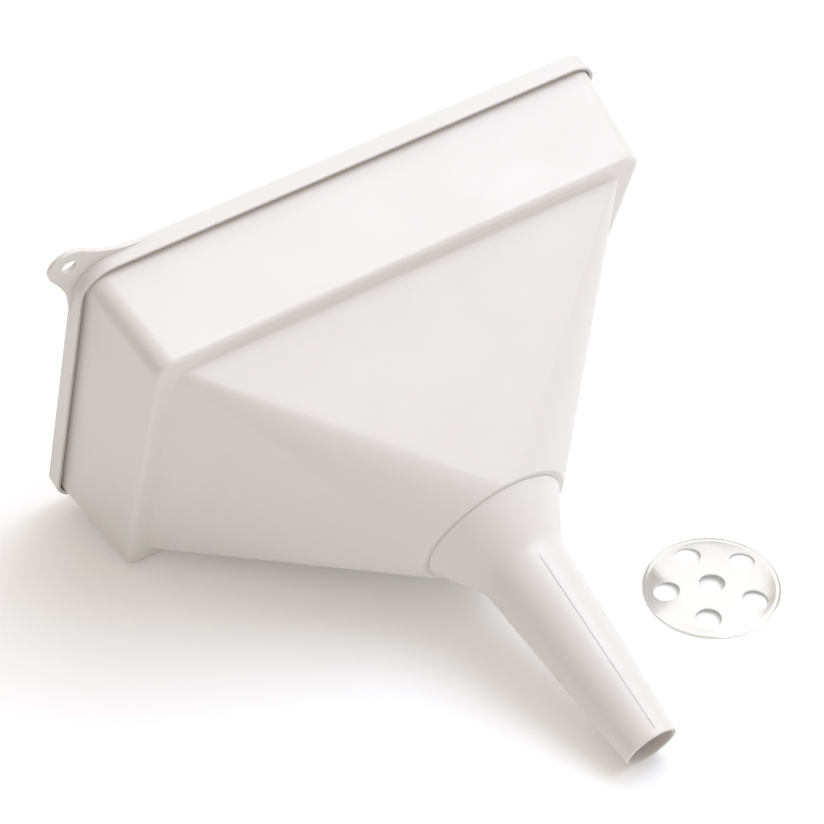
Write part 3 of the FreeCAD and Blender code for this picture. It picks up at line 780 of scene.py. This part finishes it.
@dataclass
class Spout:
    """The turned spout: spigot with the strainer's seat, flare, tapered tube and its two mould seams (mm)."""

    spigot_top: float = 8.0
    flange_radius: float = 40.6
    socket_depth: float = 6.0
    socket_radius: float = 38.4
    seat_radius: float = 35.7
    seat_ledge: float = 33.9
    flare_radius: float = 23.0
    flare_drop: float = 26.0
    flare_blend: float = 14.0
    wall: float = 1.8
    tip_radius: float = 14.4
    tip_bore: float = 12.5
    tip_drop: float = 137.0
    edge_round: float = 1.0
    crisp_round: float = 0.3
    soft_round: float = 0.6
    step_round: float = 0.5
    seam_rise: float = 0.22
    seam_thickness: float = 0.34
    seam_gaps: tuple[float, float] = (7.0, 3.5)
    turn_steps: int = 160

    def profile(self) -> list[tuple[float, float]]:
        """The wall's cross-section, from the strainer's seat over the spigot and down the outside.

        Returns:
            Radius and height of each point.
        """
        bend = (self.flare_radius - self.wall - 0.4, -self.flare_drop - 1.0)
        return rounded_profile([
            (self.seat_radius, self.spigot_top, self.step_round),
            (self.flange_radius, self.spigot_top, self.soft_round),
            (self.flange_radius, self.socket_depth, self.crisp_round),
            (self.socket_radius, self.socket_depth, self.crisp_round),
            (self.socket_radius, -0.8, self.step_round),
            (self.flare_radius, -self.flare_drop, self.flare_blend),
            (self.tip_radius, -self.tip_drop, self.edge_round),
            (self.tip_bore, -self.tip_drop, self.soft_round),
            (*bend, self.flare_blend + self.wall),
            (self.seat_ledge, -1.5, self.soft_round),
            (self.seat_ledge, 0.0, self.crisp_round),
            (self.seat_radius, 0.0, self.crisp_round),
        ])

    def tube_radius(self, height: float) -> float:
        """Outer radius of the tapered tube at a height below the neck."""
        share = (-height - self.flare_drop) / (self.tip_drop - self.flare_drop)
        return self.flare_radius + (self.tip_radius - self.flare_radius) * share

    def tree(self) -> GeometryTree:
        """Build the tree that turns the wall and lays the seams along the tube.

        Returns:
            The tree, ready to run on an object that holds the profile.
        """
        tree = GeometryTree("spout_turning", {
            "Steps": Size.COUNT, "Seam Top Radius": Size.LENGTH, "Seam Top Height": Size.LENGTH,
            "Seam End Radius": Size.LENGTH, "Seam End Height": Size.LENGTH, "Seam Thickness": Size.LENGTH,
            "Finish": Size.FINISH})
        body = turned(tree, tree.given("Geometry"))
        ends = [tree.node("ShaderNodeCombineXYZ", links={"Y": tree.given(f"Seam {at} Radius"),
                                                         "Z": tree.given(f"Seam {at} Height")}).outputs[0]
                for at in ("Top", "End")]
        line = tree.node("GeometryNodeCurvePrimitiveLine", links={"Start": ends[0], "End": ends[1]})
        path = tree.node("GeometryNodeResampleCurve", inputs={"Count": 60},
                         links={"Curve": line.outputs["Curve"]}).outputs["Curve"]
        # the raised line starts and ends as a hair and is a little uneven on its way, as flash is
        factor = tree.node("GeometryNodeSplineParameter").outputs["Factor"]
        swell = tree.maths("MINIMUM", tree.maths("MULTIPLY", tree.maths("SINE", tree.maths(
            "MULTIPLY", factor, math.pi)), 5.0), 1.0)
        uneven = tree.node("ShaderNodeTexNoise", {"noise_dimensions": "1D"}, {"Scale": 26.0, "Detail": 1.0},
                           {"W": factor}).outputs["Fac"]
        width = tree.maths("MULTIPLY", swell, tree.maths("ADD", uneven, 0.45))
        thin = tree.node("GeometryNodeSetCurveRadius", links={"Curve": path, "Radius": width}).outputs["Curve"]
        ring = tree.node("GeometryNodeCurvePrimitiveCircle", inputs={"Resolution": 10},
                         links={"Radius": tree.given("Seam Thickness")}).outputs["Curve"]
        bead = tree.node("GeometryNodeCurveToMesh", inputs={"Fill Caps": True},
                         links={"Curve": thin, "Profile Curve": ring}).outputs["Mesh"]
        sides = tree.node("GeometryNodeMeshLine", {"mode": "OFFSET"}, {"Count": 2, "Offset": (0.0, 0.0, 0.0)})
        number = tree.node("GeometryNodeInputIndex").outputs[0]
        half_turn = tree.maths("MULTIPLY", number, math.pi)
        turn = tree.node("ShaderNodeCombineXYZ", links={"Z": half_turn}).outputs[0]
        seams = tree.node("GeometryNodeInstanceOnPoints",
                          links={"Points": sides.outputs["Mesh"], "Instance": bead, "Rotation": turn})
        joined = tree.node("GeometryNodeJoinGeometry")
        tree.tree.links.new(body, joined.inputs[0])
        tree.tree.links.new(seams.outputs["Instances"], joined.inputs[0])
        tree.close(joined.outputs["Geometry"])
        return tree

    def build(self, pose: Matrix, finish: bpy.types.Material) -> bpy.types.Object:
        """Build the spout where it lies and dress it.

        Args:
            pose: Takes the upright funnel in millimetres to its place in the row.
            finish: The plastic.

        Returns:
            The finished piece.
        """
        obj = mesh_object("spout_tube", outline_mesh("spout_profile", self.profile()))
        above, below = self.seam_gaps
        seam_top, seam_end = -self.flare_drop - above, -self.tip_drop + below
        sink = self.seam_rise - self.seam_thickness
        self.tree().run(obj, {
            "Steps": self.turn_steps,
            "Seam Top Radius": self.tube_radius(seam_top) + sink, "Seam Top Height": seam_top,
            "Seam End Radius": self.tube_radius(seam_end) + sink, "Seam End Height": seam_end,
            "Seam Thickness": self.seam_thickness, "Finish": finish})
        face_outwards(obj.data)
        obj.data.transform(pose)
        soften_shading(obj.data)
        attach(obj, "funnel")
        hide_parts("spout")
        return obj


@dataclass
class StrainerPlate:
    """The pressed strainer plate: shallow dome, turned-down edge, one middle hole and five round it (mm)."""

    radius: float = 35.2
    thick: float = 1.0
    rim: float = 1.7
    edge_round: float = 0.3
    edge_bevel: float = 0.2
    dome: float = 2.9
    pitch: float = 23.6
    hole: float = 6.75
    ring_holes: int = 5
    turn: float = -133.0
    turn_steps: int = 180
    dome_steps: int = 26

    def profile(self) -> list[tuple[float, float]]:
        """The sheet's cross-section from the middle of the top, over the edge and back underneath.

        Returns:
            Radius and height of each point.
        """
        flat = self.radius - self.rim
        bend = (flat ** 2 + self.dome ** 2) / (2 * self.dome)

        def crown(r: float) -> float:
            """Height of the sheet's underside at a radius."""
            return max(self.dome - bend + math.sqrt(bend ** 2 - r ** 2), 0.0) if r < flat else 0.0

        top = [(flat * i / self.dome_steps, crown(flat * i / self.dome_steps) + self.thick)
               for i in range(self.dome_steps + 1)]
        below = [(r, z - self.thick) for r, z in top]
        soft, corner, bevel = self.edge_round, 0.3 * self.edge_round, self.edge_bevel
        edge = [(self.radius - soft, self.thick), (self.radius - corner, self.thick - corner),
                (self.radius, self.thick - soft), (self.radius, bevel), (self.radius - bevel, 0.0)]
        return top + edge + below[::-1]

    def tree(self) -> GeometryTree:
        """Build the tree that turns the dish and punches its holes.

        Returns:
            The tree, ready to run on an object that holds the profile.
        """
        tree = GeometryTree("strainer_punching", {
            "Steps": Size.COUNT, "Pitch": Size.LENGTH, "Hole Radius": Size.LENGTH, "Ring Holes": Size.COUNT,
            "Finish": Size.FINISH})
        dish = turned(tree, tree.given("Geometry"))
        punch = tree.node("GeometryNodeMeshCylinder", {"fill_type": "NGON"}, {"Vertices": 72, "Depth": 20.0},
                          {"Radius": tree.given("Hole Radius")}).outputs["Mesh"]
        ring = tree.node("GeometryNodeMeshCircle", {"fill_type": "NONE"}, links={
            "Vertices": tree.given("Ring Holes"), "Radius": tree.given("Pitch")}).outputs["Mesh"]
        middle = tree.node("GeometryNodePoints", inputs={"Count": 1}).outputs["Points"]
        spots = tree.node("GeometryNodeJoinGeometry")
        as_points = tree.node("GeometryNodeMeshToPoints", links={"Mesh": ring}).outputs["Points"]
        tree.tree.links.new(as_points, spots.inputs[0])
        tree.tree.links.new(middle, spots.inputs[0])
        tools = tree.node("GeometryNodeInstanceOnPoints",
                          links={"Points": spots.outputs["Geometry"], "Instance": punch})
        real = tree.node("GeometryNodeRealizeInstances", links={"Geometry": tools.outputs["Instances"]})
        cut = tree.node("GeometryNodeMeshBoolean", {"operation": "DIFFERENCE", "solver": "EXACT"},
                        links={"Mesh 1": dish, "Mesh 2": real.outputs["Geometry"]})
        tree.close(cut.outputs["Mesh"])
        return tree

    def build(self, finish: bpy.types.Material) -> bpy.types.Object:
        """Build the plate where it lies, beside the funnel, and dress it.

        Args:
            finish: The steel.

        Returns:
            The finished piece.
        """
        low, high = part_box("strainer_plate")
        middle = (low + high) / 2
        turn = Matrix.Rotation(math.radians(self.turn), 4, "Z")
        pose = Matrix.Translation((middle.x, middle.y, low.z)) @ turn
        obj = mesh_object("strainer_dish", outline_mesh("strainer_profile", self.profile()))
        self.tree().run(obj, {"Steps": self.turn_steps, "Pitch": self.pitch, "Hole Radius": self.hole,
                              "Ring Holes": self.ring_holes, "Finish": finish})
        face_outwards(obj.data)
        obj.data.transform(pose @ Matrix.Scale(MM, 4))
        soften_shading(obj.data, math.radians(35))
        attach(obj, "strainer")
        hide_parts("strainer_plate")
        return obj


# ------------------------------------------------------------------------------
# where the funnel lies, the table, the lights and the camera


@dataclass
class LyingFunnel:
    """Lays the upright funnel on the table: the end of the spout and the collar's foot touch it."""

    hopper: Hopper
    spout: Spout

    @staticmethod
    def rounding(edge_y: float, edge_z: float, radius: float, lean: float) -> Vector:
        """Centre of the rounding between a level underside and a side that leans out."""
        return Vector((0, edge_y - radius * (1 - math.sin(lean)) / math.cos(lean), edge_z + radius))

    def pose(self) -> Matrix:
        """Work out the placement.

        Returns:
            The matrix from the upright funnel in millimetres to the row in metres.
        """
        hopper, spout = self.hopper, self.spout
        collar_lean = math.atan2((hopper.collar_top[1] - hopper.collar_foot[1]) / 2,
                                 hopper.rim_height - hopper.collar_height)
        tube_lean = math.atan2(spout.flare_radius - spout.tip_radius, spout.tip_drop - spout.flare_drop)
        tip_r, foot_r = spout.edge_round, hopper.collar_round
        tip = self.rounding(spout.tip_radius, -spout.tip_drop, tip_r, tube_lean)
        foot = self.rounding(hopper.collar_foot[1] / 2, hopper.collar_height, foot_r, collar_lean)
        along = foot - tip
        slope = math.atan2(along.y, along.z) + math.asin((foot_r - tip_r) / along.length)
        turn = Matrix.Rotation(slope - math.pi / 2, 4, "X")
        lift = tip_r - (turn @ tip).z
        # the far end of the spout and the plain end of the mouth fix where the funnel lies in the row
        near_tip = turn @ Vector((0, -tip.y, tip.z))
        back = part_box("spout")[0].y / MM - (near_tip.y - tip_r)
        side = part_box("hopper")[1].x / MM - hopper.mouth_length / 2
        return Matrix.Scale(MM, 4) @ Matrix.Translation((side, back, lift)) @ turn


@dataclass
class Studio:
    """The pale table, the soft lights and the camera (sizes in metres)."""

    floor_hex: str = "#f9f9f9"
    floor_half: float = 4.0
    floor_glow: float = 0.10
    sky_hex: str = "#fff6ec"
    sky_low: float = 0.20
    sky_high: float = 0.80
    sky_tilt: tuple[float, float, float] = (0.22, -0.05, 0.97)
    sky_band: tuple[float, float] = (-0.1, 0.8)
    aim: tuple[float, float, float] = (0.0, 0.0, 0.08)
    key_energy: float = 75.0
    key_size: float = 2.3
    key_hex: str = "#e1ecff"
    key_from: tuple[float, float, float] = (1.61, -0.7, 3.1)
    panel_hex: str = "#edf2ff"
    panel_from: tuple[float, float, float] = (0.78, 1.02, 1.40)
    panel_energy: float = 5.4
    panel_size: float = 1.45
    eye_at: tuple[float, float, float] = (-0.58146, -0.85189, 1.06404)
    eye_forward: tuple[float, float, float] = (0.40495, 0.61454, -0.67702)
    eye_right: tuple[float, float, float] = (0.82589, -0.56355, -0.01756)
    lens: float = 126.07

    def table(self) -> bpy.types.Object:
        """Lay the pale table.

        Returns:
            The table.
        """
        mesh = bpy.data.meshes.new("table")
        half = self.floor_half
        mesh.from_pydata([(-half, -half, 0), (half, -half, 0), (half, half, 0), (-half, half, 0)], [],
                         [(0, 1, 2, 3)])
        obj = mesh_object("table", mesh)
        material = bpy.data.materials.new("table_paper")
        material.use_nodes = True
        shader = material.node_tree.nodes["Principled BSDF"]
        shader.inputs["Base Color"].default_value = linear(self.floor_hex)
        shader.inputs["Roughness"].default_value = 0.9
        # the paper lies on a light table, which lifts the shadows
        shader.inputs["Emission Color"].default_value = linear("#ffffff")
        shader.inputs["Emission Strength"].default_value = self.floor_glow
        mesh.materials.append(material)
        return obj

    def sky(self) -> None:
        """Surround the table with even soft light."""
        world = bpy.data.worlds.new("soft_room")
        world.use_nodes = True
        tree = world.node_tree
        tree.nodes.clear()
        way = add_node(tree, "ShaderNodeTexCoord").outputs["Generated"]
        height = add_node(tree, "ShaderNodeVectorMath", {"operation": "DOT_PRODUCT"}, {1: self.sky_tilt},
                          {0: way}).outputs["Value"]
        start, stop = self.sky_band
        glow = add_node(tree, "ShaderNodeMapRange", {"interpolation_type": "SMOOTHSTEP"},
                        {"From Min": start, "From Max": stop, "To Min": self.sky_low, "To Max": self.sky_high},
                        {"Value": height}).outputs["Result"]
        shade = add_node(tree, "ShaderNodeBackground", inputs={"Color": linear(self.sky_hex)},
                         links={"Strength": glow})
        add_node(tree, "ShaderNodeOutputWorld", links={"Surface": shade.outputs["Background"]})
        bpy.context.scene.world = world

    def lamp(self, name: str, colour: str, place: Sequence[float], energy: float, size: float) -> None:
        """Hang a square soft light that looks at the funnel.

        Args:
            name: The light's name.
            colour: Its sRGB hex colour.
            place: Where it hangs.
            energy: Its power in watts.
            size: Its side.
        """
        data = bpy.data.lights.new(name, "AREA")
        data.energy, data.size = energy, size
        data.color = linear(colour)[:3]
        obj = bpy.data.objects.new(name, data)
        bpy.context.scene.collection.objects.link(obj)
        obj.location = place
        obj.rotation_mode = "QUATERNION"
        obj.rotation_quaternion = (Vector(self.aim) - Vector(place)).to_track_quat("-Z", "Y")

    def camera(self) -> None:
        """Set up the camera."""
        data = bpy.data.cameras.new("camera")
        data.lens, data.sensor_width = self.lens, 36.0
        obj = bpy.data.objects.new("camera", data)
        bpy.context.scene.collection.objects.link(obj)
        back, right = -Vector(self.eye_forward).normalized(), Vector(self.eye_right).normalized()
        up = back.cross(right)
        turn = Matrix((right, up, back)).transposed().to_4x4()
        obj.matrix_world = Matrix.Translation(self.eye_at) @ turn
        bpy.context.scene.camera = obj

    def build(self) -> None:
        """Set the whole studio up."""
        self.table()
        self.sky()
        self.lamp("key_light", self.key_hex, self.key_from, self.key_energy, self.key_size)
        self.lamp("back_panel", self.panel_hex, self.panel_from, self.panel_energy, self.panel_size)
        self.camera()
        bpy.context.scene.view_settings.view_transform = "Standard"


def main() -> None:
    """Build every piece in order and report each one."""
    logging.basicConfig(level=logging.INFO, format="%(name)s: %(message)s")
    plastic, steel = MouldedPolyethylene().make(), PressedStainless().make()
    hopper, spout = Hopper(), Spout()
    pose = LyingFunnel(hopper, spout).pose()
    pieces = [hopper.build(pose, plastic), spout.build(pose, plastic), StrainerPlate().build(steel)]
    for piece in pieces:
        LOG.info("%s: %d faces", piece.name, len(piece.data.polygons))
    Studio().build()


if __name__ == "__main__":
    main()
